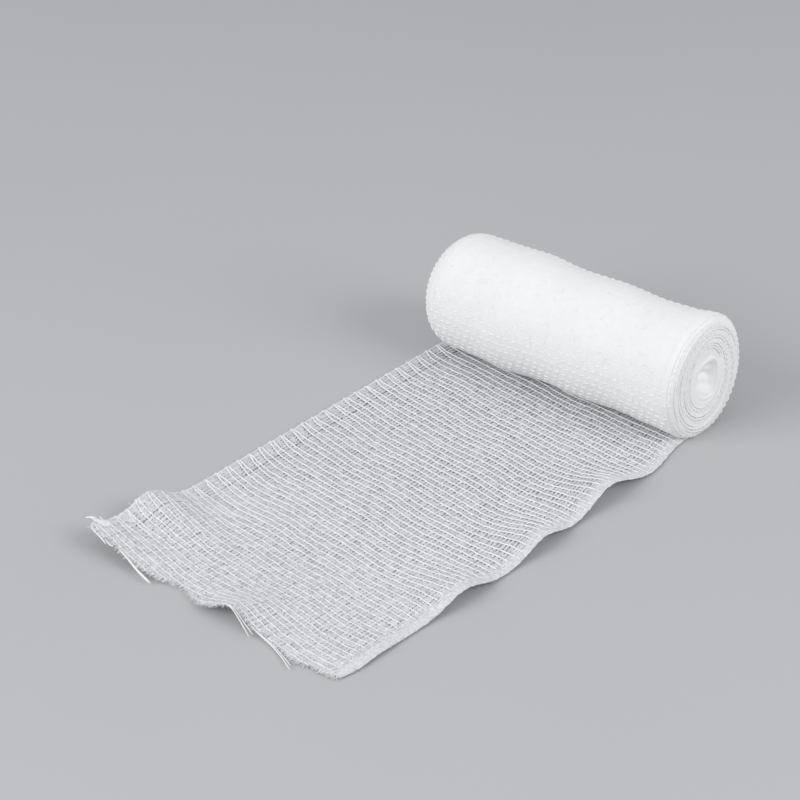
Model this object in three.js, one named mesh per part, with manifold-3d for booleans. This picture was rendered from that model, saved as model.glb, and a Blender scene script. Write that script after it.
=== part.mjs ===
// An open-weave elastic bandage, partly unrolled: its wound roll, the loose end in front of the roll and
// the frayed yarns of the cut edge. Millimetres, +Z up. The roll's axis runs along X, the loose end runs
// towards -Y, and the origin lies on the resting surface under the middle of the roll.
import * as THREE from "three";
import { mergeVertices } from "three/addons/utils/BufferGeometryUtils.js";
import Module from "manifold-3d";

const wasm = await Module();
wasm.setup();

// Cloth
const CLOTH_WIDTH = 100;
const CLOTH_THICKNESS = 1;
const PIECE_GAP = 0.3;

// Wound roll, whose axis is lower than its half height, which leaves the flat spot underneath
const ROLL_HALF_DEPTH = 18.6;
const ROLL_HALF_HEIGHT = 19;
const ROLL_AXIS_HEIGHT = 18.6;
const ROLL_SEGMENTS = 48;
const SIDE_STEPS = 10;
const TURN_PITCH = 2.1;
const TURN_RELIEF = 0.5;
const STEPS_PER_TURN = 3;
const HOLLOW_DEPTH = 4;
const HOLLOW_HALF_WIDTH = 4.4;
const HOLLOW_HALF_HEIGHT = 6;

// The roll's two ends: side along X, radius of the shoulder where the end face meets the wound side
const ROLL_ENDS = {
  far: { side: -1, shoulder: 7.8, arcSteps: 6 },
  near: { side: 1, shoulder: 1, arcSteps: 3 },
};

// The roll's radius beside its mean, at stations along its axis
const ROLL_SWELL = [
  { axial: -42, swell: -0.15 },
  { axial: -12, swell: 0.2 },
  { axial: 18, swell: -0.1 },
  { axial: 48, swell: 0.3 },
];

// Loose end, measured along the cloth from under the roll's axis
const TUCK = 5.5;
const TUCK_THICKNESS = 0.15;
const CUT_AT_LEFT = 163.2;
const CUT_AT_RIGHT = 167.8;
const DRIFT_PER_LENGTH = 0.0246;
const LEFT_DRAWN_IN = 1.2;
const RIGHT_DRAWN_IN = 1.8;
const RIGHT_SLACK = 1;
const SLACK_FROM = 6;
const SLACK_TO = 28;
const CORNER_LENGTH = 9;
const CORNER_DRAWN_IN = 2.2;
const ACROSS_STEPS = 24;
const ALONG_STEPS = 36;

// Folds of the loose end: the crest's place across from the left edge and along from the roll, its rise,
// and how far it spreads each way. Cloth that they lift by less than the lying height stays flat.
const LYING_HEIGHT = 0.15;
const FOLDS = [
  { fold: "left crest", across: 0, along: 141, rise: 5.7, spreadAcross: 13, spreadAlong: 6 },
  { fold: "left corner", across: 0, along: 166, rise: 5.6, spreadAcross: 14, spreadAlong: 12 },
  { fold: "cut edge ripple", across: 58, along: 169, rise: 4.3, spreadAcross: 6, spreadAlong: 10 },
  { fold: "first selvedge ripple", across: 100, along: 44, rise: 3.6, spreadAcross: 8, spreadAlong: 6 },
  { fold: "second selvedge ripple", across: 100, along: 79, rise: 2, spreadAcross: 8, spreadAlong: 6 },
  { fold: "third selvedge ripple", across: 100, along: 114, rise: 2.8, spreadAcross: 8, spreadAlong: 6 },
];

// Frayed edge: a strip along the cut, short cut yarns, and the long yarns that have come loose
const STRIP_WIDTH = 1;
const STRIP_THICKNESS = 0.8;
const STRIP_STEPS = 32;
const STRAND_WIDTH = 0.5;
const STRAND_ROOT = 0.7;
const SHORT_STRANDS = 35;
const SHORT_LENGTH = { least: 0.5, most: 1.5 };
const SHORT_SLANT = 0.5;
const SHORT_STEPS = 1;
const UNEVEN_STEP = 2.4;
const LONG_STEPS = 5;
const LONG_YARNS = [
  { root: 2, tip: -4, reach: -2 },
  { root: 20, tip: 30.5, reach: 1.6 },
  { root: 58, tip: 68, reach: 1.5 },
  { root: 61, tip: 69.5, reach: 2.4 },
  { root: 78, tip: 88, reach: 3.6 },
];

const TURN = 2 * Math.PI;
const { lerp, clamp, smoothstep } = THREE.MathUtils;

function gauze(color) {
  return new THREE.MeshStandardMaterial({ color, roughness: 0.92, metalness: 0 });
}

// The same geometry with each point moved by place(point).
function movePoints(geometry, place) {
  const points = geometry.getAttribute("position");
  const point = new THREE.Vector3();
  for (let i = 0; i < points.count; i += 1) {
    point.fromBufferAttribute(points, i);
    points.setXYZ(i, ...place(point).toArray());
  }
  return geometry;
}

// Points shared between faces, with the triangles that close up at a pole left out.
function closed(geometry) {
  geometry.deleteAttribute("normal");
  geometry.deleteAttribute("uv");
  const merged = mergeVertices(geometry, 1e-3);
  const index = merged.index.array;
  const kept = [];
  for (let i = 0; i < index.length; i += 3) {
    const corners = new Set(index.slice(i, i + 3));
    if (corners.size === 3) kept.push(...corners);
  }
  return merged.setIndex(kept);
}

// The roll's swell at a place along its axis, smooth between the table's stations.
function swellAt(axial) {
  const first = ROLL_SWELL[0];
  const last = ROLL_SWELL[ROLL_SWELL.length - 1];
  if (axial <= first.axial) return first.swell;
  if (axial >= last.axial) return last.swell;
  const next = ROLL_SWELL.findIndex((row) => row.axial > axial);
  const before = ROLL_SWELL[next - 1];
  const after = ROLL_SWELL[next];
  const share = smoothstep(axial, before.axial, after.axial);
  return lerp(before.swell, after.swell, share);
}

// One end of the roll's profile, from the axis out to the wound side: the end face, then its shoulder.
function endProfile({ side, shoulder, arcSteps }) {
  const faceRadius = ROLL_HALF_DEPTH - shoulder;
  const faceSteps = Math.ceil((faceRadius / TURN_PITCH) * STEPS_PER_TURN);
  const points = [];
  for (let i = 0; i <= faceSteps; i += 1) {
    points.push(new THREE.Vector2((faceRadius * i) / faceSteps, (side * CLOTH_WIDTH) / 2));
  }
  for (let i = 1; i <= arcSteps; i += 1) {
    const angle = ((TURN / 4) * i) / arcSteps;
    const radius = faceRadius + shoulder * Math.sin(angle);
    points.push(new THREE.Vector2(radius, side * (CLOTH_WIDTH / 2 - shoulder * (1 - Math.cos(angle)))));
  }
  return points;
}

// The wound side between the two shoulders.
function sideProfile(from, to) {
  const points = [];
  for (let i = 1; i < SIDE_STEPS; i += 1) {
    const axial = lerp(from, to, i / SIDE_STEPS);
    points.push(new THREE.Vector2(ROLL_HALF_DEPTH + swellAt(axial), axial));
  }
  return points;
}

// How far an end face lies in from the cloth's edge: the spiral of its turns and the hollow in its middle.
function endInset(radius, angle, faceRadius) {
  const turn = radius / TURN_PITCH - angle / TURN;
  const fade = clamp(Math.min(radius, faceRadius - radius) / TURN_PITCH, 0, 1);
  const groove = TURN_RELIEF * fade * (0.5 - 0.5 * Math.cos(TURN * turn));
  const across = (radius * Math.cos(angle)) / HOLLOW_HALF_WIDTH;
  const up = (radius * Math.sin(angle)) / HOLLOW_HALF_HEIGHT;
  return groove + HOLLOW_DEPTH * Math.max(0, 1 - across ** 2 - up ** 2);
}

function rollPoint(point) {
  const radius = Math.hypot(point.x, point.z);
  const angle = Math.atan2(point.x, point.z);
  const end = point.y < 0 ? ROLL_ENDS.far : ROLL_ENDS.near;
  const faceRadius = ROLL_HALF_DEPTH - end.shoulder;
  const onFace = Math.abs(point.y) === CLOTH_WIDTH / 2;
  const inset = onFace ? endInset(radius, angle, faceRadius) : 0;
  const share = radius / ROLL_HALF_DEPTH;
  const drop = -ROLL_HALF_HEIGHT * share * Math.sin(angle);
  const kept = drop > ROLL_AXIS_HEIGHT ? ROLL_AXIS_HEIGHT / drop : 1;
  return new THREE.Vector3(
    point.y - end.side * inset,
    radius * kept * Math.cos(angle),
    ROLL_AXIS_HEIGHT - drop * kept,
  );
}

function woundRoll() {
  const far = endProfile(ROLL_ENDS.far);
  const near = endProfile(ROLL_ENDS.near).reverse();
  const side = sideProfile(far[far.length - 1].y, near[0].y);
  const halfSegment = TURN / ROLL_SEGMENTS / 2;
  const lathe = new THREE.LatheGeometry([...far, ...side, ...near], ROLL_SEGMENTS, halfSegment);
  return closed(movePoints(lathe, rollPoint));
}

// Height of the cloth's underside over the surface it lies on.
function liftAt(across, along) {
  let height = -LYING_HEIGHT;
  for (const fold of FOLDS) {
    const sideways = (across - fold.across) / fold.spreadAcross;
    const lengthways = (along - fold.along) / fold.spreadAlong;
    height += fold.rise * Math.exp(-(sideways ** 2 + lengthways ** 2) / 2);
  }
  return Math.max(height, 0);
}

function cutAt(across) {
  return lerp(CUT_AT_LEFT, CUT_AT_RIGHT, across / CLOTH_WIDTH);
}

// A point of the cloth's underside, across from its left edge and along from the roll. The strip drifts a
// little to the right. Its edges are drawn in where it leaves the roll, its right selvedge then goes
// slack, and its right corner is drawn in again.
function clothPoint(across, along) {
  const share = across / CLOTH_WIDTH;
  const slack = lerp(-RIGHT_DRAWN_IN, RIGHT_SLACK, smoothstep(along, SLACK_FROM, SLACK_TO));
  const corner = clamp((along - cutAt(across) + CORNER_LENGTH) / CORNER_LENGTH, 0, 1);
  const right = share ** 2 * (slack - CORNER_DRAWN_IN * corner ** 2);
  const left = (1 - share) ** 2 * LEFT_DRAWN_IN;
  const x = across - CLOTH_WIDTH / 2 + DRIFT_PER_LENGTH * along + left + right;
  return new THREE.Vector3(x, -along, liftAt(across, along));
}

// Height of the roll's curved underside at a distance in front of its axis.
function rollUnderside(along) {
  const share = clamp(along / ROLL_HALF_DEPTH, 0, 1);
  return ROLL_AXIS_HEIGHT - ROLL_HALF_HEIGHT * Math.sqrt(1 - share ** 2);
}

function looseEnd() {
  const slab = new THREE.BoxGeometry(1, 1, 1, ACROSS_STEPS, ALONG_STEPS, 1);
  const place = (point) => {
    const across = (point.x + 0.5) * CLOTH_WIDTH;
    const along = lerp(TUCK, cutAt(across), 0.5 - point.y);
    const placed = clothPoint(across, along);
    const room = along < ROLL_HALF_DEPTH ? rollUnderside(along) - PIECE_GAP : CLOTH_THICKNESS;
    const thickness = clamp(room, TUCK_THICKNESS, CLOTH_THICKNESS);
    placed.z += point.z > 0 ? thickness : 0;
    return placed;
  };
  return closed(movePoints(slab, place));
}

function solidOf(geometry) {
  const mesh = new wasm.Mesh({
    numProp: 3,
    vertProperties: geometry.getAttribute("position").array,
    triVerts: new Uint32Array(geometry.index.array),
  });
  return new wasm.Manifold(mesh);
}

// The narrow strip of yarn ends that follows the cut.
function cutStrip() {
  const slab = new THREE.BoxGeometry(1, 1, 1, STRIP_STEPS, 1, 1);
  const place = (point) => {
    const across = (point.x + 0.5) * CLOTH_WIDTH;
    const along = cutAt(across) + PIECE_GAP + (0.5 - point.y) * STRIP_WIDTH;
    const placed = clothPoint(across, along);
    placed.z += (point.z + 0.5) * STRIP_THICKNESS;
    return placed;
  };
  return solidOf(closed(movePoints(slab, place)));
}

// A yarn of square section that lies level along a route of places given across and along the cloth.
function strand(from, to, steps) {
  const slab = new THREE.BoxGeometry(1, 1, 1, steps, 1, 1);
  const heading = new THREE.Vector2(to.across - from.across, from.along - to.along).normalize();
  const place = (point) => {
    const share = point.x + 0.5;
    const bend = share ** 2;
    const placed = clothPoint(lerp(from.across, to.across, share), lerp(from.along, to.along, bend));
    placed.x -= heading.y * point.y * STRAND_WIDTH;
    placed.y += heading.x * point.y * STRAND_WIDTH;
    placed.z += (point.z + 0.5) * STRAND_WIDTH;
    return placed;
  };
  return solidOf(closed(movePoints(slab, place)));
}

function shortStrand(number) {
  const uneven = 0.5 + 0.5 * Math.sin(number * UNEVEN_STEP);
  const across = ((number + 0.5) * CLOTH_WIDTH) / SHORT_STRANDS;
  const stripFront = cutAt(across) + PIECE_GAP + STRIP_WIDTH;
  const from = { across, along: stripFront - STRAND_ROOT };
  const to = {
    across: across + (uneven - 0.5) * SHORT_SLANT,
    along: stripFront + lerp(SHORT_LENGTH.least, SHORT_LENGTH.most, uneven),
  };
  return strand(from, to, SHORT_STEPS);
}

function longYarn({ root, tip, reach }) {
  const stripFront = (across) => cutAt(across) + PIECE_GAP + STRIP_WIDTH;
  const from = { across: root, along: stripFront(root) - STRAND_ROOT };
  const to = { across: tip, along: stripFront(tip) + reach };
  return strand(from, to, LONG_STEPS);
}

function frayedEdge() {
  let edge = cutStrip();
  for (let number = 0; number < SHORT_STRANDS; number += 1) {
    edge = edge.add(shortStrand(number));
  }
  for (const yarn of LONG_YARNS) {
    edge = edge.add(longYarn(yarn));
  }
  const { vertProperties, triVerts } = edge.getMesh();
  return new THREE.BufferGeometry()
    .setAttribute("position", new THREE.BufferAttribute(vertProperties, 3))
    .setIndex(new THREE.BufferAttribute(triVerts, 1));
}

function piece(name, geometry, material) {
  const mesh = new THREE.Mesh(geometry, material);
  mesh.name = name;
  return mesh;
}

const bandage = new THREE.Group();
bandage.add(piece("wound_roll", woundRoll(), gauze(0xf2f2f3)));
bandage.add(piece("loose_end", looseEnd(), gauze(0xe6e8ec)));
bandage.add(piece("frayed_edge", frayedEdge(), gauze(0xeceef1)));

export default bandage;
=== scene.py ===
# A partly unrolled bandage of open-weave elastic gauze: the wound roll with its spiral of turns, the loose
# end in front of it, woven yarn by yarn, and the frayed yarns of the cut edge. Places are worked out in
# millimetres, in the part's frame, and become metres when a mesh is made.
import math

import bmesh
import bpy
import numpy as np
from mathutils import Matrix, Vector


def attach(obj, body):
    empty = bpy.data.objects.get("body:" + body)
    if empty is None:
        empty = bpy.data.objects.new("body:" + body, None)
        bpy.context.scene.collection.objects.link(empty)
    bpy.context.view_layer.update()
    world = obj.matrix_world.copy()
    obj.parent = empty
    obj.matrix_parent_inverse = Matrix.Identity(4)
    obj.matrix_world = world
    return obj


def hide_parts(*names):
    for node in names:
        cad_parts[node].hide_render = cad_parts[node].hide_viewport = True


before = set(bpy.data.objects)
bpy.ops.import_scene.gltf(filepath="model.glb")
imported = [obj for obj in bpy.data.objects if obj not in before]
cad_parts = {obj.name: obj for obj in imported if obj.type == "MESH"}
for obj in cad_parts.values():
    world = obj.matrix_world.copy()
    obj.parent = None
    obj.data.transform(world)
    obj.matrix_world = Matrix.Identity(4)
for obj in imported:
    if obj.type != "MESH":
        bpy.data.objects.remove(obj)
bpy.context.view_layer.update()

MM = 0.001
TURN = 2 * math.pi
SEED = 11
rng = np.random.default_rng(SEED)

# Cloth
CLOTH_WIDTH = 100.0
CLOTH_MIDDLE = 0.47
CUT_LEFT = 163.2
CUT_RIGHT = 167.8

# Loose end: how it drifts, and where its edges are drawn in or go slack
DRIFT_PER_LENGTH = 0.0246
UNDER_ROLL = 2.0
LEFT_DRAWN_IN = 1.2
LEFT_LET_OUT = 1.2
LET_OUT_FROM = 125
LET_OUT_TO = 155
RIGHT_DRAWN_IN = 2.0
RIGHT_SLACK = 2.2
SLACK_FROM = 7.8
SLACK_TO = 32.4
FOLD_TAKES_UP = 1.2
FOLD_TAKES_UP_AT = 49.8
FOLD_TAKES_UP_SPREAD = 14
RIGHT_NARROWS = 1.8
NARROWS_FROM = 100
NARROWS_TO = 150
CORNER_LENGTH = 9.0
CORNER_DRAWN_IN = 1.4
PRESSED_FLAT = 0.72
PRESSED_FROM = 4.0
PRESSED_TO = 14.0
UNEVEN_LIFT = 0.14

# Folds of the loose end: place across and along, rise, spread across and along
LYING_HEIGHT = 0.15
FOLDS = (
    (0, 141, 5.7, 13, 6),
    (0, 166, 5.6, 14, 12),
    (58, 169, 4.3, 6, 10),
    (100, 49.2, 4.9, 9, 8.1),
    (100, 82.4, 4.0, 9, 7),
    (100, 118, 3.9, 9, 7.1),
    (100, 153.3, 0.7, 9, 6.4),
)

# Weave: cross yarns in rows, over fluffy lengthwise yarns that swell between the rows
ROW_PITCH = 2.52
ROW_PITCH_AT_CUT = 2.16
ROWS_CLOSE_FROM = 33.7
ROWS_CLOSE_TO = 59.3
FIRST_ROW = -2
LAST_ROW = 72
CROSS_HALF_WIDTH = 0.285
CROSS_HALF_HEIGHT = 0.2
CROSS_THINNER = 0.14
CROSS_STEP = 0.47
CROSS_OVER = 0.27
CROSS_SUNK = 0.2
SUNK_FROM = 90
SUNK_TO = 150
SUNK_AT_RIGHT = 0.21
MOST_SUNK = 0.28
LEFT_LOOP = -1.0
RIGHT_LOOP = 0.55
PINCHED = 0.42
SWOLLEN = 0.84
SWOLLEN_HEIGHT = 0.27

# Cords that bind the two edges: place across, half width
EDGE_CORDS = ((-0.15, 0.15), (99.85, 0.24))
CORD_STATIONS = 420

# Places of the lengthwise yarns across the cloth
YARN_PITCH = 1.4
LEFT_YARNS = (0.3, 1.3)
FIRST_MIDDLE_YARN = 2.5
MIDDLE_YARNS = 67
RIGHT_YARNS = (96.1, 97.1, 97.9, 98.6, 99.2, 99.7)
LADDER_AT = 7
LADDER_WIDENS = 0.18
LEFT_SELVEDGE_TO = 1
RIGHT_SELVEDGE_FROM = 96.5
YARN_STATIONS = 320

# Fluff of the lengthwise yarns: its share near the roll, and what handling adds in each region
FLUFF = 0.85
FLUFF_TO_FRONT = 0.25
FLUFF_AT_LEFT = 0.12
FLUFF_AT_RIGHT = 0.08
FLUFF_BY_ROLL = 0.06
FLUFF_AT_CUT = 0.14
FLUFF_IN_CORNER = 0.14

# Stray filaments and loose fibres
FILAMENTS_EACH = 3
FILAMENT_STATIONS = 144
FILAMENT_HALF_WIDTH = 0.085
FILAMENT_HALF_HEIGHT = 0.06
CLOTH_FIBRES = 5200
CLOTH_FIBRE_HALF_WIDTH = 0.035
ROLL_FIBRES = 500
ROLL_FIBRE_HALF_WIDTH = 0.03

# Wound roll
ROLL_HALF_DEPTH = 18.6
ROLL_HALF_HEIGHT = 19.0
ROLL_AXIS_HEIGHT = 18.6
ROLL_REST = 0.7
GROUND_CLEAR = 0.05
BODY_UNDER = 0.14
BODY_STEPS = 192
POLE_RADIUS = 0.02
FAR_SHOULDER = 8.8
NEAR_SHOULDER = 3.2
ROLL_SWELL = (
    (-42, -0.1), (-30, 0.1), (-18, 0.55), (-4, -0.35), (13, 0.1), (27, -0.5), (40, 0.0), (50, 0.0),
)

# Outer turn of the roll: its yarns, its rows, and the angles where the rows show as dashes
ROLL_YARNS = np.arange(3.2, 103.4, YARN_PITCH)
ROLL_YARN_HALF_WIDTH = 1.22
ROLL_YARN_HALF_HEIGHT = 0.2
ROLL_ROWS = 48
DASHES_AT = 3.45
DASHES_BEHIND = 0.93
DASH_HALF_WIDTH = 0.24
DASH_HALF_HEIGHT = 0.19

# Lip of the near rim: where it starts along the axis, how far it stands out at its top and at its foot, and
# the angles of those two
LIP_FROM = 38.0
LIP_TO = 47.0
LIP_AT_TOP = 1.1
LIP_AT_FOOT = 0.7
LIP_TOP_ANGLE = 1.05
LIP_FOOT_ANGLE = -1.65

# Hollow in the middle of the roll
HOLLOW_Y = 2.2
HOLLOW_RISE = 1.0
HOLLOW_TO_LEFT = 7.8
HOLLOW_TO_RIGHT = 3.4
HOLLOW_TO_TOP = 5.8
HOLLOW_TO_FOOT = 7.6
HOLLOW_DEPTH = 2.7
FLAP_DEPTH = 0.4
CRUMPLE = 0.75
CREASE = 0.4

# Rings of turns round the hollow: half width, half height and rise of the oval that they start from
RINGS_HALF_WIDTH = 6.3
RINGS_HALF_HEIGHT = 8.3
RINGS_RISE = 1.0
RINGS = 4
RINGS_UNEVEN = 0.85
RINGS_CLOSEST_AT = 2.09
RINGS_START = 0.19
GROOVE_DEPTH = 0.27
GROOVE_WIDTH = 0.17
RING_BELLY = 0.2
RING_NUB = 0.07
NUB_SPACING = 1.9

# Edges of the turns on the end faces, and the nubs round both rims
NEAR_TURNS = 11
NEAR_SPIRAL_RIM = ROLL_HALF_DEPTH - NEAR_SHOULDER + 1.2
FAR_TURNS = 8
FAR_SPIRAL_RIM = 11.0
FIRST_TURN = 1.5
TURN_STATIONS = 220
TURN_EDGE_INSET = 0.26
TURN_EDGE_HALF_WIDTH = 0.55
TURN_EDGE_HALF_HEIGHT = 0.2
WAVES_IN_TURN = 60
RIM_NUBS = 50
FAR_NUBS = 52

# How far the cut edge's fringe reaches beyond the straight cut: place across, reach
FRINGE = (
    (-2, 0.2), (0, 1.1), (4, 2.1), (10, 2.0), (17, 2.8), (25, 2.4), (29, 1.8), (33, -0.3), (37, -0.8),
    (42, 0.6), (47, 2.4), (52, 3.2), (55, 2.6), (57.5, 0.6), (62, 1.3), (67, 1.6), (70, 0.9), (76, 2.1),
    (84, 3.5), (90, 1.8), (97, 2.1), (102, 0.2),
)
FRINGE_LENGTH = 1.2
FRINGE_HALF_WIDTH = 0.11
TUFT = 10

# Map that lays each yarn out as a strip
BAKE_MAP = "OFBake"
MAP_MARGIN = 0.004


def smooth(value, low, high):
    share = np.clip((value - low) / (high - low), 0, 1)
    return share * share * (3 - 2 * share)


# A soft hump of height 1 at a place along a line.
def hump(value, place, spread):
    return np.exp(-(((value - place) / spread) ** 2) / 2)


# A soft hump of height 1 at an angle round the roll.
def towards(angle, place, narrow):
    return np.exp(narrow * (np.cos(angle - place) - 1))


def unit(vectors):
    return vectors / np.maximum(np.linalg.norm(vectors, axis=-1, keepdims=True), 1e-9)


def added(name, data):
    item = bpy.data.objects.new(name, data)
    bpy.context.scene.collection.objects.link(item)
    return item


# Smooth random drift from about -1 to 1, one row for each yarn.
def wander(count, at, lengths):
    drift = np.zeros((count, len(at)))
    for length in lengths:
        period = length * rng.uniform(0.8, 1.25, (count, 1))
        phase = rng.uniform(0, TURN, (count, 1))
        drift += np.sin(TURN * at / period + phase)
    return drift / len(lengths)


# Loose end's surface

def cut_at(across):
    return CUT_LEFT + (CUT_RIGHT - CUT_LEFT) * across / CLOTH_WIDTH


# Where the weave ends and its fringe starts.
def weave_end(across):
    places, reaches = zip(*FRINGE)
    return cut_at(across) + np.interp(across, places, reaches) - FRINGE_LENGTH


def lift_at(across, along):
    height = -LYING_HEIGHT
    for place, length, rise, spread_across, spread_along in FOLDS:
        sideways = (across - place) / spread_across
        lengthways = (along - length) / spread_along
        height = height + rise * np.exp(-(sideways**2 + lengthways**2) / 2)
    uneven = UNEVEN_LIFT * np.sin(across / 6.3 + along / 17) * np.sin(along / 9.1 - across / 23)
    height = height + uneven
    return (height + np.sqrt(height**2 + 0.01)) / 2


# Underside of the cloth at places across from its left edge and along from the roll.
def cloth_underside(across, along):
    share = across / CLOTH_WIDTH
    slack = -RIGHT_DRAWN_IN + (RIGHT_SLACK + RIGHT_DRAWN_IN) * smooth(along, SLACK_FROM, SLACK_TO)
    slack = slack - FOLD_TAKES_UP * hump(along, FOLD_TAKES_UP_AT, FOLD_TAKES_UP_SPREAD)
    slack = slack - RIGHT_NARROWS * smooth(along, NARROWS_FROM, NARROWS_TO)
    corner = np.clip((along - cut_at(across) + CORNER_LENGTH) / CORNER_LENGTH, 0, 1)
    right = share**2 * (slack - CORNER_DRAWN_IN * corner**2)
    left = (1 - share) ** 2 * LEFT_DRAWN_IN * (1 - LEFT_LET_OUT * smooth(along, LET_OUT_FROM, LET_OUT_TO))
    x = across - CLOTH_WIDTH / 2 + DRIFT_PER_LENGTH * along + left + right
    return np.stack([x, -along, lift_at(across, along)], axis=-1)


# The weave is pulled a little out of square here and there.
def pulled(across, along):
    inside = smooth(across, 0, 9) * smooth(CLOTH_WIDTH - across, 0, 9)
    sideways = 0.22 * np.sin(along / 8.2 + across / 13) + 0.16 * np.sin(along / 4.6 - across / 17 + 2)
    lengthways = 0.34 * np.sin(across / 7.5 + along / 19) + 0.22 * np.sin(across / 4.1 - along / 11 + 1.3)
    return across + sideways * inside, along + lengthways


# Points over the cloth's underside, and the cloth's own up there.
def on_cloth(across, along, height):
    across, along = pulled(across, along)
    step = 0.05
    here = cloth_underside(across, along)
    side = cloth_underside(across + step, along) - here
    ahead = cloth_underside(across, along + step) - here
    up = unit(np.cross(ahead, side))
    pressed = PRESSED_FLAT + (1 - PRESSED_FLAT) * smooth(along, PRESSED_FROM, PRESSED_TO)
    return here + up * (height * pressed)[..., None], up


# Weave of the loose end

# Cross yarns close up in pairs towards the left edge, where each pair turns round.
def pair_shift(across, row):
    return (0.8 * np.exp(-across / 4.5) + 0.12 * np.exp(-across / 40)) * np.cos(math.pi * row)


# Rows lie askew: further from the roll on the right, and hooked back towards it at the left edge.
def row_skew(across):
    across = np.maximum(across, 0)
    return 0.12 * (across - CLOTH_WIDTH / 2) - 2.4 * np.exp(-across / 7) - 1.6 * smooth(across, 70, 100)


# Where a row lies in the middle of the cloth. The rows close up towards the cut.
def row_middle(row):
    lost = ROW_PITCH - ROW_PITCH_AT_CUT
    span = ROWS_CLOSE_TO - ROWS_CLOSE_FROM
    closing = np.clip(row - ROWS_CLOSE_FROM, 0, span) ** 2 / (2 * span) + np.maximum(row - ROWS_CLOSE_TO, 0)
    return ROW_PITCH * (row + 0.5) - lost * closing


# The ripple in the cut edge takes up length, so that the rows before it are drawn back.
def drawn_back(across, middle):
    return -1.1 * smooth(middle, 90, 125) * hump(across, 52, 18)


def along_of(across, row):
    middle = row_middle(row)
    uneven = 0.3 * np.sin(2.3 * row) * np.exp(-across / 10) + 0.12 * np.sin(5.1 * row + across / 14)
    return middle + row_skew(across) + drawn_back(across, middle) + pair_shift(across, row) + uneven


def row_of(across, along):
    rows = np.arange(FIRST_ROW - 4, LAST_ROW + 8, 0.25)
    middle = along - row_skew(across)
    return np.interp(middle - drawn_back(across, middle), row_middle(rows), rows)


# How far a lengthwise yarn has swollen between two rows, from 0 under a row to 1, and how fluffy it is there:
# more towards the cut, where the cloth has been handled, and most in the front left corner.
def swell_between(across, along):
    swell = (0.5 - 0.5 * np.cos(TURN * row_of(across, along))) ** 0.7
    to_cut = cut_at(across) - along
    fluff = FLUFF + FLUFF_TO_FRONT * smooth(along, 10, 150)
    fluff = fluff + FLUFF_AT_LEFT * (1 - smooth(across, 1, 11))
    fluff = fluff + FLUFF_AT_RIGHT * smooth(across, 35, 90)
    fluff = fluff + FLUFF_BY_ROLL * (1 - smooth(along, 12, 45))
    fluff = fluff + FLUFF_AT_CUT * (1 - smooth(to_cut, 3, 17))
    fluff = fluff + FLUFF_IN_CORNER * smooth(along, 100, 135) * (1 - smooth(across, 12, 40))
    return swell, fluff


# Places of the lengthwise yarns: close at the left edge, with a ladder beside it, and a dense right selvedge.
def lengthwise_places():
    middle = FIRST_MIDDLE_YARN + YARN_PITCH * np.arange(MIDDLE_YARNS)
    aside = np.where(middle > LADDER_AT, LADDER_WIDENS, -LADDER_WIDENS)
    middle = middle + aside * np.exp(-np.abs(middle - LADDER_AT) / 6)
    return np.concatenate([LEFT_YARNS, middle, RIGHT_YARNS])


LENGTHWISE = lengthwise_places()
YARN_NUMBER = np.arange(len(LENGTHWISE))
IN_SELVEDGE = (LENGTHWISE < LEFT_SELVEDGE_TO) | (LENGTHWISE > RIGHT_SELVEDGE_FROM)


# Tubes along many routes at once, each closed at both ends. Routes, ups: routes x points x 3.
def tube_arrays(routes, ups, half_width, half_height, sides):
    count, length = routes.shape[:2]
    along = unit(np.gradient(routes, axis=1))
    side = unit(np.cross(along, ups))
    up = np.cross(side, along)
    angle = TURN * (np.arange(sides) + 0.5) / sides
    half_width = np.broadcast_to(half_width, (count, length))[..., None, None]
    half_height = np.broadcast_to(half_height, (count, length))[..., None, None]
    ring = half_width * np.cos(angle)[:, None] * side[:, :, None]
    ring = ring + half_height * np.sin(angle)[:, None] * up[:, :, None]
    points = (routes[:, :, None] + ring).reshape(-1, 3)

    first = (np.arange(count) * length * sides)[:, None, None]
    station = (np.arange(length - 1) * sides)[:, None]
    now, after = np.arange(sides), (np.arange(sides) + 1) % sides
    walls = np.stack(
        [first + station + now, first + station + sides + now,
         first + station + sides + after, first + station + after], axis=-1
    ).reshape(-1, 4)
    start = first[:, 0] + now
    end = first[:, 0] + (length - 1) * sides + now[::-1]

    u = MAP_MARGIN + (1 - 2 * MAP_MARGIN) * np.arange(length) / (length - 1)
    strip = np.arange(count)[:, None, None]
    u0 = np.broadcast_to(u[:-1, None], (count, length - 1, sides))
    u1 = np.broadcast_to(u[1:, None], (count, length - 1, sides))
    v0 = np.broadcast_to((strip + 0.08 + 0.84 * now / sides) / count, u0.shape)
    v1 = np.broadcast_to((strip + 0.08 + 0.84 * (now + 1) / sides) / count, u0.shape)
    wall_map = np.stack(
        [np.stack([u0, v0], -1), np.stack([u1, v0], -1), np.stack([u1, v1], -1), np.stack([u0, v1], -1)],
        axis=-2,
    ).reshape(-1, 2)
    cap_v = (np.arange(count)[:, None] + 0.5 + 0.4 * np.sin(angle)) / count
    cap_u = np.broadcast_to(MAP_MARGIN / 2 * (1 + 0.8 * np.cos(angle)), (count, sides))
    start_map = np.stack([cap_u, cap_v], -1).reshape(-1, 2)
    end_map = np.stack([1 - cap_u, cap_v], -1)[:, ::-1].reshape(-1, 2)
    return {
        "points": points,
        "faces": [walls, start, end],
        "map": [wall_map, start_map, end_map],
    }


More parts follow.
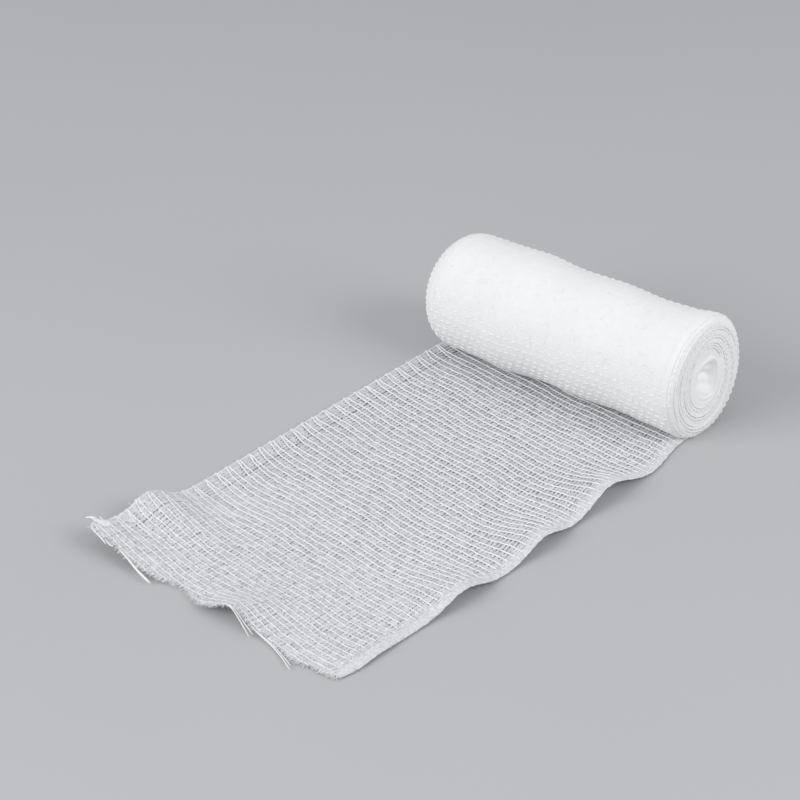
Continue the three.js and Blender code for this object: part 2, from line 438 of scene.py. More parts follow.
# One object of many tubes. Its map lays each yarn out as a strip.
def yarn_piece(name, groups, material, rounded_off=True):
    points, loops, starts, maps = [], [], [], []
    base, loop_base = 0, 0
    for number, group in enumerate(groups):
        points.append(group["points"])
        for faces, places in zip(group["faces"], group["map"]):
            corners = faces.shape[1]
            loops.append((faces + base).ravel())
            starts.append(loop_base + corners * np.arange(len(faces)))
            loop_base += faces.size
            maps.append(np.stack([places[:, 0], (number + places[:, 1]) / len(groups)], -1))
        base += len(group["points"])
    points, loops, starts = np.concatenate(points), np.concatenate(loops), np.concatenate(starts)
    mesh = bpy.data.meshes.new(name)
    mesh.vertices.add(len(points))
    mesh.vertices.foreach_set("co", (points * MM).ravel())
    mesh.loops.add(len(loops))
    mesh.loops.foreach_set("vertex_index", loops.astype(np.int32))
    mesh.polygons.add(len(starts))
    mesh.polygons.foreach_set("loop_start", starts.astype(np.int32))
    mesh.update(calc_edges=True)
    mesh.polygons.foreach_set("use_smooth", np.full(len(starts), rounded_off))
    layer = mesh.uv_layers.new(name=BAKE_MAP)
    layer.data.foreach_set("uv", np.concatenate(maps).ravel())
    mesh.materials.append(material)
    return added(name, mesh)


# Materials

def noise_node(nodes, links, vector, scale, detail):
    noise = nodes.new("ShaderNodeTexNoise")
    noise.inputs["Detail"].default_value = detail
    if isinstance(scale, float):
        noise.inputs["Scale"].default_value = scale
    else:
        links.new(scale, noise.inputs["Scale"])
    links.new(vector, noise.inputs["Vector"])
    return noise.outputs["Fac"]


# Fibre: soft clouds of denser and thinner fibre, and the fine hair on top of them.
def fibre_group():
    group = bpy.data.node_groups.new("Fibre", "ShaderNodeTree")
    socket = group.interface.new_socket
    socket(name="Vector", in_out="INPUT", socket_type="NodeSocketVector")
    socket(name="Cloud Scale", in_out="INPUT", socket_type="NodeSocketFloat")
    socket(name="Hair Scale", in_out="INPUT", socket_type="NodeSocketFloat")
    socket(name="Density", in_out="OUTPUT", socket_type="NodeSocketFloat")
    socket(name="Height", in_out="OUTPUT", socket_type="NodeSocketFloat")
    nodes, links = group.nodes, group.links
    entry = nodes.new("NodeGroupInput")
    leave = nodes.new("NodeGroupOutput")
    cloud = noise_node(nodes, links, entry.outputs["Vector"], entry.outputs["Cloud Scale"], 2.0)
    hair = noise_node(nodes, links, entry.outputs["Vector"], entry.outputs["Hair Scale"], 3.0)
    blend = nodes.new("ShaderNodeMath")
    blend.operation = "MULTIPLY_ADD"
    blend.inputs[1].default_value = 0.45
    links.new(hair, blend.inputs[0])
    half = nodes.new("ShaderNodeMath")
    half.operation = "MULTIPLY"
    half.inputs[1].default_value = 0.55
    links.new(cloud, half.inputs[0])
    links.new(half.outputs[0], blend.inputs[2])
    links.new(blend.outputs[0], leave.inputs["Density"])
    links.new(hair, leave.inputs["Height"])
    return group


FIBRE = fibre_group()


def fibre_material(name, dense, thin, cloud, hair, rough, bump, sheen):
    material = bpy.data.materials.new(name)
    material.use_nodes = True
    nodes, links = material.node_tree.nodes, material.node_tree.links
    shader = nodes["Principled BSDF"]
    shader.inputs["Sheen Weight"].default_value = sheen
    shader.inputs["Sheen Roughness"].default_value = 0.6
    shader.inputs["Specular IOR Level"].default_value = 0.25
    place = nodes.new("ShaderNodeTexCoord")
    fibre = nodes.new("ShaderNodeGroup")
    fibre.node_tree = FIBRE
    fibre.inputs["Cloud Scale"].default_value = cloud
    fibre.inputs["Hair Scale"].default_value = hair
    links.new(place.outputs["Object"], fibre.inputs["Vector"])
    ramp = nodes.new("ShaderNodeValToRGB")
    ramp.color_ramp.elements[0].position = 0.36
    ramp.color_ramp.elements[0].color = (*thin, 1)
    ramp.color_ramp.elements[1].position = 0.62
    ramp.color_ramp.elements[1].color = (*dense, 1)
    links.new(fibre.outputs["Density"], ramp.inputs["Fac"])
    links.new(ramp.outputs["Color"], shader.inputs["Base Color"])
    roughness = nodes.new("ShaderNodeMapRange")
    roughness.inputs["To Min"].default_value = rough[0]
    roughness.inputs["To Max"].default_value = rough[1]
    links.new(fibre.outputs["Density"], roughness.inputs["Value"])
    links.new(roughness.outputs["Result"], shader.inputs["Roughness"])
    relief = nodes.new("ShaderNodeBump")
    relief.inputs["Strength"].default_value = 0.6
    relief.inputs["Distance"].default_value = bump * MM
    links.new(fibre.outputs["Height"], relief.inputs["Height"])
    links.new(relief.outputs["Normal"], shader.inputs["Normal"])
    return material


CROSS_WHITE = fibre_material(
    "smooth cross yarn", dense=(0.935, 0.938, 0.942), thin=(0.87, 0.874, 0.88),
    cloud=300.0, hair=2600.0, rough=(0.5, 0.68), bump=0.03, sheen=0.1,
)
# Lengthwise yarns: greyer and bluer than the cross yarns of the same cotton. This is painted shade of the
# shaded floor seen through their gaps and thin fluff. The cloud between dense and thin is their own uneven
# tone.
LENGTHWISE_TONE_AND_PAINTED_SHADE = fibre_material(
    "fluffy lengthwise yarn", dense=(0.735, 0.745, 0.775), thin=(0.475, 0.485, 0.515),
    cloud=800.0, hair=3200.0, rough=(0.82, 0.96), bump=0.05, sheen=0.2,
)
# Selvedge yarns: the same grey painted shade as the lengthwise yarns, a little lighter where the yarns lie
# close.
SELVEDGE_TONE_AND_PAINTED_SHADE = fibre_material(
    "selvedge yarn", dense=(0.76, 0.77, 0.795), thin=(0.56, 0.57, 0.6),
    cloud=900.0, hair=3000.0, rough=(0.8, 0.95), bump=0.05, sheen=0.2,
)
WOUND_WHITE = fibre_material(
    "wound gauze", dense=(0.89, 0.89, 0.89), thin=(0.86, 0.86, 0.86),
    cloud=350.0, hair=2200.0, rough=(0.85, 0.97), bump=0.04, sheen=0.2,
)
OUTER_WHITE = fibre_material(
    "outer turn", dense=(0.85, 0.852, 0.855), thin=(0.82, 0.823, 0.827),
    cloud=350.0, hair=2200.0, rough=(0.85, 0.97), bump=0.04, sheen=0.2,
)
FUZZ_WHITE = fibre_material(
    "loose fibre", dense=(0.95, 0.955, 0.96), thin=(0.88, 0.885, 0.9),
    cloud=300.0, hair=2500.0, rough=(0.7, 0.9), bump=0.02, sheen=0.1,
)


# Loose end

# Fluffy yarns of the weave, and the close ones of the two selvedges. Their grey, cool colour is painted shade
# of the gaps beneath them.
def lengthwise_yarns():
    share = np.linspace(0, 1, YARN_STATIONS)
    count = len(LENGTHWISE)
    places = LENGTHWISE[:, None]
    lengths = share * (weave_end(places) + UNDER_ROLL) - UNDER_ROLL
    drift = 0.12 * wander(count, lengths[0], (14, 7.5, 31))
    swell, fluff = swell_between(np.broadcast_to(places, lengths.shape), lengths)
    loft = fluff * (1 + 0.36 * wander(count, lengths[0], (9, 4.1, 2.7)))
    wide = loft * (PINCHED + (SWOLLEN - PINCHED) * swell)
    wide = np.where(IN_SELVEDGE[:, None], (0.4 + 0.12 * swell) * loft, wide)
    height = CLOTH_MIDDLE - 0.05 + 0.04 * wander(count, lengths[0], (5.3, 2.6))
    height = height + 0.08 * IN_SELVEDGE[:, None]
    route, up = on_cloth(places + drift * np.where(IN_SELVEDGE, 0.5, 1)[:, None], lengths, height)
    thick = SWOLLEN_HEIGHT * (0.85 + 0.15 * swell)
    pieces = []
    for name, kept, material in (
        ("loose_lengthwise_yarns", ~IN_SELVEDGE, LENGTHWISE_TONE_AND_PAINTED_SHADE),
        ("selvedge_yarns", IN_SELVEDGE, SELVEDGE_TONE_AND_PAINTED_SHADE),
    ):
        group = tube_arrays(route[kept], up[kept], wide[kept], thick[kept], 4)
        pieces.append(yarn_piece(name, [group], material, rounded_off=False))
    return pieces


# Stretches of a row that lie between the roll and the cut.
def row_stretches(row):
    across = np.arange(0.45, 99.5, 0.25)
    along = along_of(across, row)
    inside = (along > -UNDER_ROLL) & (along < weave_end(across) + 0.3)
    edges = np.flatnonzero(np.diff(np.concatenate([[0], inside.astype(int), [0]])))
    for first, last in zip(edges[::2], edges[1::2] - 1):
        if last - first > 12:
            yield across[first], across[last]


# Each row bends round at both edges to meet the next: at the left within a pair, at the right between pairs,
# and a thin cord binds each edge.
def cross_yarns():
    bend = np.linspace(0, math.pi / 2, 5)[1:]
    groups = []
    for row in range(FIRST_ROW, LAST_ROW + 1):
        left_to = 1 if row % 2 == 0 else -1
        for first, last in row_stretches(row):
            across = np.linspace(first, last, max(int((last - first) / CROSS_STEP), 8))
            numbers = np.interp(across, LENGTHWISE, YARN_NUMBER)
            along = along_of(across, row) + 0.2 * wander(1, across, (11, 23, 8, 5))[0]
            sunk = CROSS_SUNK * smooth(along, SUNK_FROM, SUNK_TO) + SUNK_AT_RIGHT * smooth(across, 94, 98)
            sunk = np.minimum(sunk, MOST_SUNK)
            height = CLOTH_MIDDLE + CROSS_OVER - sunk - 0.05 * np.cos(math.pi * (numbers + row))
            for edge, sign, reach in ((first, left_to, LEFT_LOOP), (last, -left_to, RIGHT_LOOP)):
                if 1 < edge < CLOTH_WIDTH - 1:
                    continue
                half = (along_of(edge, row) - along_of(edge, row + sign)) / 2
                turn_across = edge + reach * np.sin(bend)
                turn_along = (along[0] if reach < 0 else along[-1]) - half * (1 - np.cos(bend))
                level = np.full(len(bend), CLOTH_MIDDLE)
                if reach < 0:
                    across = np.concatenate([turn_across[::-1], across])
                    along = np.concatenate([turn_along[::-1], along])
                    height = np.concatenate([level, height])
                else:
                    across = np.concatenate([across, turn_across])
                    along = np.concatenate([along, turn_along])
                    height = np.concatenate([height, level])
            route, up = on_cloth(across, along, height)
            thick = 1 + 0.12 * wander(1, np.arange(len(across)) * CROSS_STEP, (5, 2.2))
            thick = thick * (1 - CROSS_THINNER * smooth(along, SUNK_FROM, SUNK_TO))
            tube = tube_arrays(route[None], up[None], CROSS_HALF_WIDTH * thick, CROSS_HALF_HEIGHT * thick, 4)
            groups.append(tube)
    for place, half_width in EDGE_CORDS:
        along = np.linspace(-UNDER_ROLL, float(weave_end(place)), CORD_STATIONS)
        across = place + 0.12 * wander(1, along, (4.9, 1.5))[0]
        route, up = on_cloth(across, along, np.full(CORD_STATIONS, CLOTH_MIDDLE))
        thick = half_width * (1 + 0.25 * wander(1, along, (2.3, 4.1)))
        groups.append(tube_arrays(route[None], up[None], thick, thick * 0.8, 4))
    return yarn_piece("loose_cross_yarns", groups, CROSS_WHITE)


# Crimped filaments that stray from the lengthwise yarns and half fill the gaps beside them, in the same grey
# of painted shade.
def stray_filaments(name):
    count = FILAMENTS_EACH * len(LENGTHWISE)
    share = np.linspace(0, 1, FILAMENT_STATIONS)
    places = np.repeat(LENGTHWISE, FILAMENTS_EACH)[:, None]
    lengths = share * (weave_end(places) + 0.4)
    swell, fluff = swell_between(np.broadcast_to(places, lengths.shape), lengths)
    stray = (0.5 + 0.35 * swell) * fluff
    across = places + stray * 1.5 * wander(count, lengths[0], (5.1, 3.1, 8.7))
    across = across + rng.uniform(-0.2, 0.2, (count, 1))
    height = CLOTH_MIDDLE + 0.02 + 0.2 * wander(count, lengths[0], (4.2, 2.9))
    route, up = on_cloth(np.clip(across, 0.1, 99.9), lengths, height)
    group = tube_arrays(route, up, FILAMENT_HALF_WIDTH, FILAMENT_HALF_HEIGHT, 3)
    return yarn_piece(name, [group], LENGTHWISE_TONE_AND_PAINTED_SHADE)


# Roll

def swell_at(axial):
    stations, swells = np.array(ROLL_SWELL, float).T
    number = np.clip(np.searchsorted(stations, axial) - 1, 0, len(stations) - 2)
    share = smooth(axial, stations[number], stations[number + 1])
    return swells[number] + (swells[number + 1] - swells[number]) * share


FAR_ARC = FAR_SHOULDER * TURN / 4
SIDE_LENGTH = CLOTH_WIDTH - FAR_SHOULDER - NEAR_SHOULDER
NEAR_ARC = NEAR_SHOULDER * TURN / 4


# Axial place and radius of the wound side, by the distance from the far face, and which way is out there.
def roll_profile(distance):
    far = np.clip(distance, 0, FAR_ARC) / FAR_SHOULDER
    near = np.clip(distance - FAR_ARC - SIDE_LENGTH, 0, NEAR_ARC) / NEAR_SHOULDER
    straight = np.clip(distance - FAR_ARC, 0, SIDE_LENGTH)
    half = CLOTH_WIDTH / 2
    axial = -half + FAR_SHOULDER * (1 - np.cos(far)) + straight + NEAR_SHOULDER * np.sin(near)
    radius = ROLL_HALF_DEPTH - FAR_SHOULDER * (1 - np.sin(far)) - NEAR_SHOULDER * (1 - np.cos(near))
    radius = radius + swell_at(axial) * smooth(distance, FAR_ARC * 0.5, FAR_ARC + 5)
    out_axial = np.where(distance < FAR_ARC, -np.cos(far), np.sin(near))
    out_radial = np.where(distance < FAR_ARC, np.sin(far), np.cos(near))
    return axial, radius, out_axial, out_radial


# How far the loose outer turns stand out round the near rim.
def near_lip(axial, angle):
    top = LIP_AT_TOP * towards(angle, LIP_TOP_ANGLE, 5)
    foot = LIP_AT_FOOT * towards(angle, LIP_FOOT_ANGLE, 5)
    return smooth(axial, LIP_FROM, LIP_TO) * (top + foot)


# A point at an angle round the axis, from the back over the top, pressed flat where the roll rests.
def round_axis(axial, radius, angle):
    radius = radius + near_lip(axial, angle) * smooth(radius, 9, 17)
    y = radius * np.cos(angle)
    rise = radius * np.sin(angle) * ROLL_HALF_HEIGHT / ROLL_HALF_DEPTH
    room = ROLL_AXIS_HEIGHT - ROLL_REST * (1 - 0.9 * smooth(axial, 46.8, 48.4))
    kept = np.where(-rise > room, room / np.maximum(-rise, 1e-6), 1.0)
    return np.stack(np.broadcast_arrays(axial, y * kept, ROLL_AXIS_HEIGHT + rise * kept), axis=-1)


def on_roll(distance, angle, height):
    axial, radius, out_axial, out_radial = roll_profile(distance)
    points = round_axis(axial + height * out_axial, radius + height * out_radial, angle)
    before, after = axial - 0.5, axial + 0.5
    slope = swell_at(after) + near_lip(after, angle) - swell_at(before) - near_lip(before, angle)
    slope = slope * out_radial
    outward = np.broadcast_arrays(out_axial - slope, out_radial * np.cos(angle), out_radial * np.sin(angle))
    return points, np.stack(outward, axis=-1)


# No yarn of the outer turn goes below the surface that the roll rests on.
def off_ground(group):
    group["points"][:, 2] = np.maximum(group["points"][:, 2], GROUND_CLEAR)
    return group


def roll_lengthwise_yarns():
    angle = np.linspace(0, TURN, 4 * ROLL_ROWS + 1) - TURN / 4
    count = len(ROLL_YARNS)
    around = angle * ROLL_HALF_DEPTH
    drift = 0.1 * wander(count, around, (14, 7.5, 31))
    swell = 0.5 - 0.5 * np.cos(angle * ROLL_ROWS)
    wide = (ROLL_YARN_HALF_WIDTH + 0.08 * swell) * (1 + 0.06 * wander(count, around, (9, 4.1)))
    level = -0.13 + 0.015 * (-1.0) ** np.arange(count)[:, None] + 0.02 * swell + 0.02 * drift
    route, up = on_roll(ROLL_YARNS[:, None] + drift, angle[None, :], level)
    group = off_ground(tube_arrays(route, up, wide, ROLL_YARN_HALF_HEIGHT, 4))
    return yarn_piece("roll_lengthwise_yarns", [group], OUTER_WHITE, rounded_off=False)


# Cross yarns show as rows of dashes, most where the outer turn is drawn tight, low on the roll's front.
def roll_cross_yarns():
    distance = np.linspace(2.6, 103.2, 440)
    angles = (np.arange(ROLL_ROWS) * TURN / ROLL_ROWS - TURN / 4)[:, None]
    numbers = np.interp(distance, ROLL_YARNS, np.arange(len(ROLL_YARNS)))
    rows = np.arange(ROLL_ROWS)[:, None]
    drift = 0.16 * wander(ROLL_ROWS, distance, (11, 23, 41, 6)) / ROLL_HALF_DEPTH
    drawn = towards(angles, DASHES_AT, 7) + 0.85 * towards(angles, DASHES_BEHIND, 30)
    height = -0.37 + 0.32 * drawn + 0.21 * np.tanh(2 * np.cos(math.pi * (numbers + rows)) + 0.5)
    route, up = on_roll(np.broadcast_to(distance, drift.shape), angles + drift, height)
    group = off_ground(tube_arrays(route, up, DASH_HALF_WIDTH, DASH_HALF_HEIGHT, 4))
    return yarn_piece("roll_cross_yarns", [group], CROSS_WHITE)


# How far out from the hollow's deepest point a place is: 0 there, 1 at the hollow's edge.
def hollow_reach(y, rise):
    aside = y - HOLLOW_Y
    above = rise - HOLLOW_RISE
    sideways = aside / np.where(aside > 0, HOLLOW_TO_RIGHT, HOLLOW_TO_LEFT)
    upright = above / np.where(above > 0, HOLLOW_TO_TOP, HOLLOW_TO_FOOT)
    return np.hypot(sideways, upright)


# How far round the spiral of visible rings a place on an end face is, from the hollow out.
def ring_turn(y, rise):
    angle = np.arctan2(rise, y)
    inner = RINGS_HALF_WIDTH * RINGS_HALF_HEIGHT / np.hypot(
        RINGS_HALF_HEIGHT * np.cos(angle), RINGS_HALF_WIDTH * np.sin(angle)
    ) + RINGS_RISE * np.sin(angle)
    share = (np.hypot(y, rise) - inner) / (ROLL_HALF_DEPTH - 1 - inner)
    rings = RINGS + RINGS_UNEVEN * np.cos(angle - RINGS_CLOSEST_AT)
    return rings * share + angle / TURN + RINGS_START, share


# Grooves between rings. They fade at the back of the roll, where the turns lie close.
def groove_at(y, rise):
    turn, share = ring_turn(y, rise)
    angle = np.arctan2(rise, y)
    off = np.abs(turn - np.round(turn))
    fade = 1 - 0.85 * hump(angle, 0.5, 0.85)
    fade = fade * (0.65 + 0.35 * np.sin(2.3 * angle + 2.1 * np.round(turn)))
    groove = GROOVE_DEPTH * fade * np.exp(-((off / GROOVE_WIDTH) ** 2))
    belly = RING_BELLY * np.sin(math.pi * off)
    nubs = RING_NUB * np.sin(angle * np.hypot(y, rise) * TURN / NUB_SPACING + 2.4 * np.round(turn))
    return (groove - belly - nubs) * smooth(share, 0.0, 0.3)


# How deep the hollow is. The flap of the cloth's inner end lies in its lower left, and a soft fold of the
# innermost turn over its top.
def hollow_at(y, rise):
    reach = hollow_reach(y, rise)
    inside = 1 - smooth(reach, 0, 1.05)
    past_flap = 0.51 * (y + 5.2) + 0.86 * (rise + 0.7)
    flap = FLAP_DEPTH * smooth(past_flap, -0.7, 0.8) * smooth(1.1 - reach, 0, 0.3)
    fold = 0.45 * np.exp(-(((y - 0.8) / 3.4) ** 2 + ((rise - 6.6) / 2.4) ** 2) / 2)
    fold = fold + 0.2 * np.exp(-(((y - 1.8) / 2.2) ** 2 + ((rise - 5.4) / 1.5) ** 2) / 2)
    crumple = CRUMPLE * np.sin(1.3 * y + 0.7 * rise) * np.sin(1.1 * rise - 0.6 * y + 1)
    angle = np.arctan2(rise - HOLLOW_RISE, y - HOLLOW_Y)
    arcs = np.exp(-(((reach - 0.93) / 0.05) ** 2)) + 0.8 * np.exp(-(((reach - 1.13) / 0.05) ** 2))
    crease = CREASE * arcs * hump(angle, -1.25, 0.6)
    return (HOLLOW_DEPTH + crumple) * inside + flap + crease - fold


def end_inset(y, rise):
    return groove_at(y, rise) + hollow_at(y, rise)


def wound_body():
    body = bmesh.new()
    far_face = ROLL_HALF_DEPTH - FAR_SHOULDER
    near_face = ROLL_HALF_DEPTH - NEAR_SHOULDER
    side_end = FAR_ARC + SIDE_LENGTH
    stations = [(-CLOTH_WIDTH / 2, radius) for radius in np.linspace(POLE_RADIUS, far_face, 30)]
    for distance in np.concatenate([
        np.linspace(0.6, FAR_ARC, 14), np.linspace(FAR_ARC, side_end, 64)[1:],
        np.linspace(side_end, side_end + NEAR_ARC, 20)[1:],
    ]):
        axial, radius = roll_profile(np.array(distance))[:2]
        under = BODY_UNDER * smooth(distance, 3, 8) * (1 - smooth(distance, side_end - 3, side_end + 1))
        stations.append((float(axial), float(radius - under)))
    stations += [(CLOTH_WIDTH / 2, radius) for radius in np.linspace(near_face, POLE_RADIUS, 84)[1:]]
    corners = [body.verts.new((axial, 0, radius)) for axial, radius in stations]
    edges = [body.edges.new(pair) for pair in zip(corners, corners[1:])]
    bmesh.ops.spin(
        body, geom=corners + edges, cent=(0, 0, 0), axis=(1, 0, 0),
        angle=TURN, steps=BODY_STEPS, use_merge=True,
    )
    bmesh.ops.remove_doubles(body, verts=body.verts[:], dist=1e-4)
    rims = [edge for edge in body.edges if edge.is_boundary]
    bmesh.ops.holes_fill(body, edges=rims, sides=0)
    for corner in body.verts:
        axial, y, rise = corner.co
        radius, angle = math.hypot(y, rise), math.atan2(rise, y)
        if abs(axial) > CLOTH_WIDTH / 2 - NEAR_SHOULDER:
            axial -= math.copysign(float(end_inset(y, rise)), axial)
        corner.co = Vector(round_axis(axial, radius, angle)) * MM
    bmesh.ops.recalc_face_normals(body, faces=body.faces[:])
    mesh = bpy.data.meshes.new("wound_body")
    body.to_mesh(mesh)
    body.free()
    mesh.polygons.foreach_set("use_smooth", np.ones(len(mesh.polygons), dtype=bool))
    mesh.materials.append(WOUND_WHITE)
    return added("wound_body", mesh)


# The cloth's edge, turn upon turn from the hollow out to the rim, on both ends of the roll, and the nubs
# round both rims where the outer turn's cross yarns turn back.
def turn_edges():
    groups = []
    for side, shoulder, rim, turns in (
        (1, NEAR_SHOULDER, NEAR_SPIRAL_RIM, NEAR_TURNS), (-1, FAR_SHOULDER, FAR_SPIRAL_RIM, FAR_TURNS)
    ):
        turn = np.linspace(FIRST_TURN, turns, turns * TURN_STATIONS + 1)
        angle = -TURN * turn - TURN / 4
        share = turn / turns
        start_y = RINGS_HALF_WIDTH * np.cos(angle)
        start_rise = RINGS_HALF_HEIGHT * np.sin(angle) + RINGS_RISE
        y = start_y + (rim * np.cos(angle) - start_y) * share
        rise = start_rise + (rim * np.sin(angle) - start_rise) * share
        radius = np.hypot(y, rise)
        uneven = 0.05 * wander(1, turn * WAVES_IN_TURN, (9, 21, 4))[0]
        uneven = uneven + 0.04 * np.cos(turn * WAVES_IN_TURN * (1 + 0.04 * np.sin(turn * 5)))
        inset = end_inset(y, rise) + TURN_EDGE_INSET - uneven + 0.1 * towards(angle, 0.8, 2)
        arc = np.clip(radius - (ROLL_HALF_DEPTH - shoulder), 0, shoulder * 0.99)
        inset = inset + shoulder - np.sqrt(shoulder**2 - arc**2)
        route = round_axis(side * (CLOTH_WIDTH / 2 - inset), radius, np.arctan2(rise, y))
        up = np.zeros_like(route)
        up[..., 0] = side
        groups.append(tube_arrays(route[None], up[None], TURN_EDGE_HALF_WIDTH, TURN_EDGE_HALF_HEIGHT, 4))

    near_place = FAR_ARC + SIDE_LENGTH + 0.8 * NEAR_SHOULDER
    for count, place, wide, proud_at in (
        (RIM_NUBS, near_place, 0.36, -0.8), (FAR_NUBS, 0.68 * FAR_SHOULDER, 0.3, 2.6)
    ):
        angle = np.linspace(0, TURN, count * 9 + 1)
        nub = np.cos(count * angle + 0.8 * wander(1, angle, (0.7, 0.31))[0])
        proud = towards(angle, proud_at, 2.5)
        level = -0.3 + 0.2 * proud + (0.06 + 0.08 * proud) * nub
        route, up = on_roll(place + 0.2 * wander(1, angle, (1.9, 0.8))[0], angle, level)
        route[:, 2] = np.maximum(route[:, 2], wide + 0.1)
        groups.append(tube_arrays(route[None], up[None], wide, wide + 0.05 * nub[None], 5))
    return yarn_piece("turn_edges", groups, WOUND_WHITE)


# Frayed cut edge

# Long yarns that have come loose: half width, then places across and beyond the straight cut
LONG_YARNS = (
    (0.22, (-1.1, -2.3), (-0.5, 0.0), (2.2, 1.5), (5.9, 2.3), (8.8, 3.1)),
    (0.2, (7.3, 2.0), (8.8, 2.3), (9.6, 2.3), (10.2, 2.3), (11.0, 2.2)),
    (0.26, (13.1, 1.6), (17.8, 2.5), (20.9, 3.1), (24.8, 3.7), (28.9, 4.2)),
    (0.2, (14.1, 1.6), (18.0, 2.7), (20.9, 3.3), (24.3, 4.0), (28.0, 4.3)),
    (0.16, (54.0, 0.5), (58.5, 0.9), (63.0, 2.3), (68.3, 4.0)),
    (0.15, (55.0, 0.3), (60.0, 0.8), (64.5, 1.9), (68.6, 2.7)),
    (0.17, (66.0, 0.9), (75.0, 2.0), (81.0, 3.7), (87.0, 6.1)),
    (0.15, (68.0, 0.7), (77.0, 2.0), (82.0, 3.5), (86.0, 4.7)),
    (0.24, (2.9, -3.6), (-0.1, -3.8), (-2.3, -3.4), (-3.8, -3.6), (-5.4, -2.4)),
    (0.22, (2.9, -2.8), (-0.1, -3.0), (-2.1, -2.7), (-3.6, -3.9), (-5.5, -3.0)),
    (0.2, (2.9, -4.4), (0.1, -4.4), (-1.9, -4.1), (-3.6, -4.3), (-5.2, -3.8)),
    (0.2, (2.9, -5.2), (0.9, -4.8), (-0.7, -4.9), (-2.1, -5.4), (-3.0, -5.9)),
)


# A smooth line through stations.
def rounded(share, at, values):
    curve = np.interp(share, at, values)
    soft = np.ones(7) / 7
    padded = np.concatenate([[curve[0]] * 3, curve, [curve[-1]] * 3])
    settled = np.convolve(padded, soft, mode="valid")
    settled[0], settled[-1] = curve[0], curve[-1]
    return settled


def frayed_yarns():
    count = TUFT * len(LENGTHWISE)
    places = np.repeat(LENGTHWISE, TUFT)[:, None]
    share = np.linspace(0, 1, 7)
    reach = FRINGE_LENGTH * rng.uniform(0.3, 1.5, (count, 1))
    lean = rng.normal(0, 0.45, (count, 1)) + 0.2
    across = places + rng.uniform(-0.45, 0.45, (count, 1)) + lean * share**1.5
    across = across + 0.12 * wander(count, share, (0.6, 0.37))
    lengths = weave_end(places) - 0.7 + (0.7 + reach) * share
    height = CLOTH_MIDDLE + rng.uniform(-0.2, 0.3, (count, 1))
    height = height + rng.uniform(-0.3, 0.5, (count, 1)) * share**2
    route, up = on_cloth(across, lengths, np.maximum(height, 0.1))
    thick = FRINGE_HALF_WIDTH * (1 - 0.5 * share)
    groups = [tube_arrays(route, up, thick, thick, 3)]

    routes, ups, thick = [], [], []
    for half_width, *stations in LONG_YARNS:
        places, beyond = np.array(stations).T
        at = np.linspace(0, 1, len(stations))
        share = np.linspace(0, 1, 30)
        across = rounded(share, at, places)
        lengths = cut_at(across) + rounded(share, at, beyond)
        height = CLOTH_MIDDLE + 0.12 + 0.1 * np.sin(9 * share)
        route, up = on_cloth(across, lengths, height)
        routes.append(route)
        ups.append(up)
        thick.append(half_width * (1 - 0.35 * smooth(share, 0.85, 1)))
    groups.append(tube_arrays(np.stack(routes), np.stack(ups), np.stack(thick), np.stack(thick), 4))
    return yarn_piece("frayed_yarns", groups, CROSS_WHITE)


# Fine fibres that stand off the cloth and the roll.
def fuzz():
    groups = []
    share = np.linspace(0, 1, 4)
    count = CLOTH_FIBRES
    across = rng.uniform(0.3, 99.7, (count, 1))
    lengths = 12 + (cut_at(across) - 12) * rng.uniform(0, 1, (count, 1))
    heading = rng.normal(0, 0.7, (count, 1))
    span = rng.uniform(0.9, 2.6, (count, 1))
    curl = rng.normal(0, 0.5, (count, 1))
    across = across + span * (np.sin(heading) * share + curl * share * (1 - share))
    lengths = lengths + span * np.cos(heading) * share
    height = CLOTH_MIDDLE + 0.1 + rng.uniform(0, 0.55, (count, 1)) * np.sin(math.pi * share)
    route, up = on_cloth(across, lengths, height)
    groups.append(tube_arrays(route, up, CLOTH_FIBRE_HALF_WIDTH, CLOTH_FIBRE_HALF_WIDTH, 3))

    count = ROLL_FIBRES
    distance = rng.uniform(3, 104, (count, 1))
    angle = rng.uniform(-0.2, 3.6, (count, 1))
    heading = rng.uniform(0, TURN, (count, 1))
    span = rng.uniform(0.8, 2.2, (count, 1))
    distance = distance + span * np.cos(heading) * share
    angle = angle + span * np.sin(heading) * share / ROLL_HALF_DEPTH
    stand = rng.uniform(0, 0.35, (count, 1))
    bow = np.sin(math.pi * share * rng.uniform(0.5, 1, (count, 1)))
    route, up = on_roll(distance, angle, 0.05 + stand * bow)
    groups.append(tube_arrays(route, up, ROLL_FIBRE_HALF_WIDTH, ROLL_FIBRE_HALF_WIDTH, 3))
    return yarn_piece("fuzz", groups, FUZZ_WHITE)


body = wound_body()
edges = turn_edges()
roll_long = roll_lengthwise_yarns()
roll_cross = roll_cross_yarns()
loose_long, selvedges = lengthwise_yarns()
loose_cross = cross_yarns()
filaments_under = stray_filaments("loose_filaments_under")
filaments_over = stray_filaments("loose_filaments_over")
frayed = frayed_yarns()
fibres = fuzz()

for piece in (
    body, edges, roll_long, roll_cross,
    loose_long, selvedges, loose_cross, filaments_under, filaments_over, frayed, fibres,
):
    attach(piece, "root")
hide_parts("wound_roll")
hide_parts("loose_end")
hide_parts("frayed_edge")


# Floor, light and camera

FLOOR_HALF_SIZE = 4.0
WARM_WHITE = (1.0, 0.99, 0.97)
CAMERA_AZIMUTH = math.radians(41.674)
CAMERA_ELEVATION = math.radians(29.08)
CAMERA_TILT = math.radians(-0.819)
CAMERA_TARGET = Vector((-34.57, -43.77, 0)) * MM
CAMERA_DISTANCE = 0.86197
CAMERA_LENS = 124.6


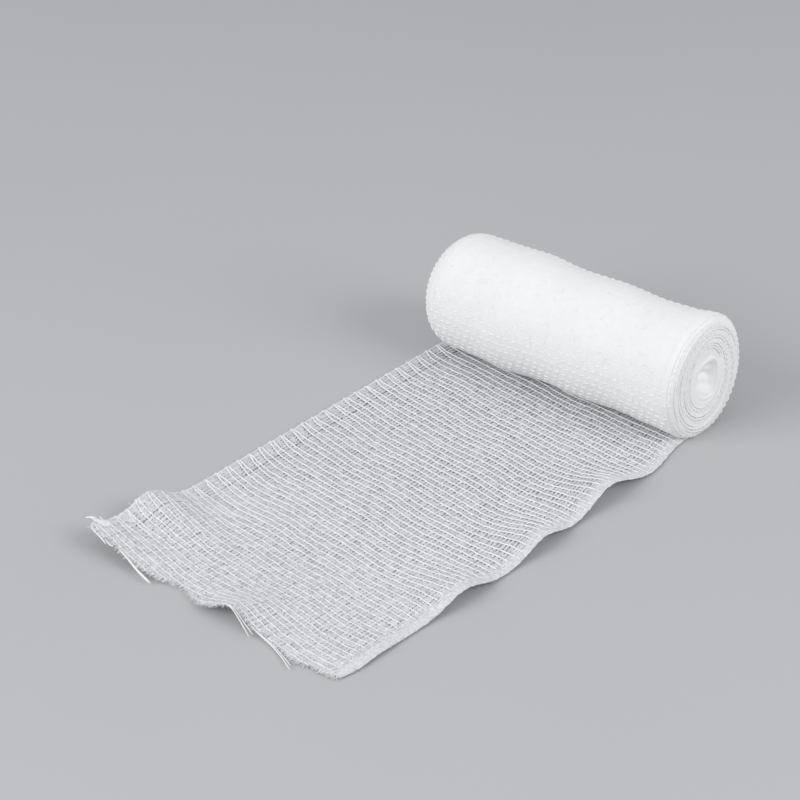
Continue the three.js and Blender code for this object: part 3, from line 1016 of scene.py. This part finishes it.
def floor_material():
    material = bpy.data.materials.new("pale floor")
    material.use_nodes = True
    nodes, links = material.node_tree.nodes, material.node_tree.links
    shader = nodes["Principled BSDF"]
    shader.inputs["Roughness"].default_value = 0.9
    shader.inputs["Specular IOR Level"].default_value = 0.1
    place = nodes.new("ShaderNodeTexCoord")
    grain = noise_node(nodes, links, place.outputs["Object"], 6.0, 2.0)
    ramp = nodes.new("ShaderNodeValToRGB")
    ramp.color_ramp.elements[0].color = (0.485, 0.49, 0.5, 1)
    ramp.color_ramp.elements[1].color = (0.51, 0.515, 0.525, 1)
    links.new(grain, ramp.inputs["Fac"])
    links.new(ramp.outputs["Color"], shader.inputs["Base Color"])
    return material


def floor():
    slab = bmesh.new()
    bmesh.ops.create_grid(slab, x_segments=2, y_segments=2, size=FLOOR_HALF_SIZE)
    mesh = bpy.data.meshes.new("floor")
    slab.to_mesh(mesh)
    slab.free()
    mesh.materials.append(floor_material())
    ground = added("floor", mesh)


def soft_light(name, place, aim, size, power):
    lamp = bpy.data.lights.new(name, "AREA")
    lamp.shape = "DISK"
    lamp.size = size
    lamp.energy = power
    lamp.color = WARM_WHITE
    light = added(name, lamp)
    light.location = place
    light.rotation_euler = (Vector(aim) - Vector(place)).to_track_quat("-Z", "Y").to_euler()


def studio():
    world = bpy.data.worlds.new("studio")
    world.use_nodes = True
    sky = world.node_tree.nodes["Background"]
    sky.inputs["Color"].default_value = (0.94, 0.96, 1.0, 1)
    sky.inputs["Strength"].default_value = 0.61
    bpy.context.scene.world = world
    bpy.context.scene.view_settings.view_transform = "Standard"
    soft_light("key", place=(-0.4, -1.15, 0.62), aim=(0, -0.06, 0), size=0.9, power=8.9)
    soft_light("fill", place=(1.08, 0.15, 0.7), aim=(0, -0.04, 0.01), size=0.8, power=6.3)


def camera():
    back = Vector((
        math.sin(CAMERA_AZIMUTH) * math.cos(CAMERA_ELEVATION),
        -math.cos(CAMERA_AZIMUTH) * math.cos(CAMERA_ELEVATION),
        math.sin(CAMERA_ELEVATION),
    ))
    level = Vector((math.cos(CAMERA_AZIMUTH), math.sin(CAMERA_AZIMUTH), 0))
    rise = back.cross(level)
    right = level * math.cos(CAMERA_TILT) + rise * math.sin(CAMERA_TILT)
    up = rise * math.cos(CAMERA_TILT) - level * math.sin(CAMERA_TILT)
    data = bpy.data.cameras.new("camera")
    data.lens = CAMERA_LENS
    data.sensor_width = 36.0
    data.clip_start, data.clip_end = 0.01, 50.0
    eye = added("camera", data)
    place = CAMERA_TARGET + back * CAMERA_DISTANCE
    eye.matrix_world = Matrix.Translation(place) @ Matrix((right, up, back)).transposed().to_4x4()
    bpy.context.scene.camera = eye


floor()
studio()
camera()
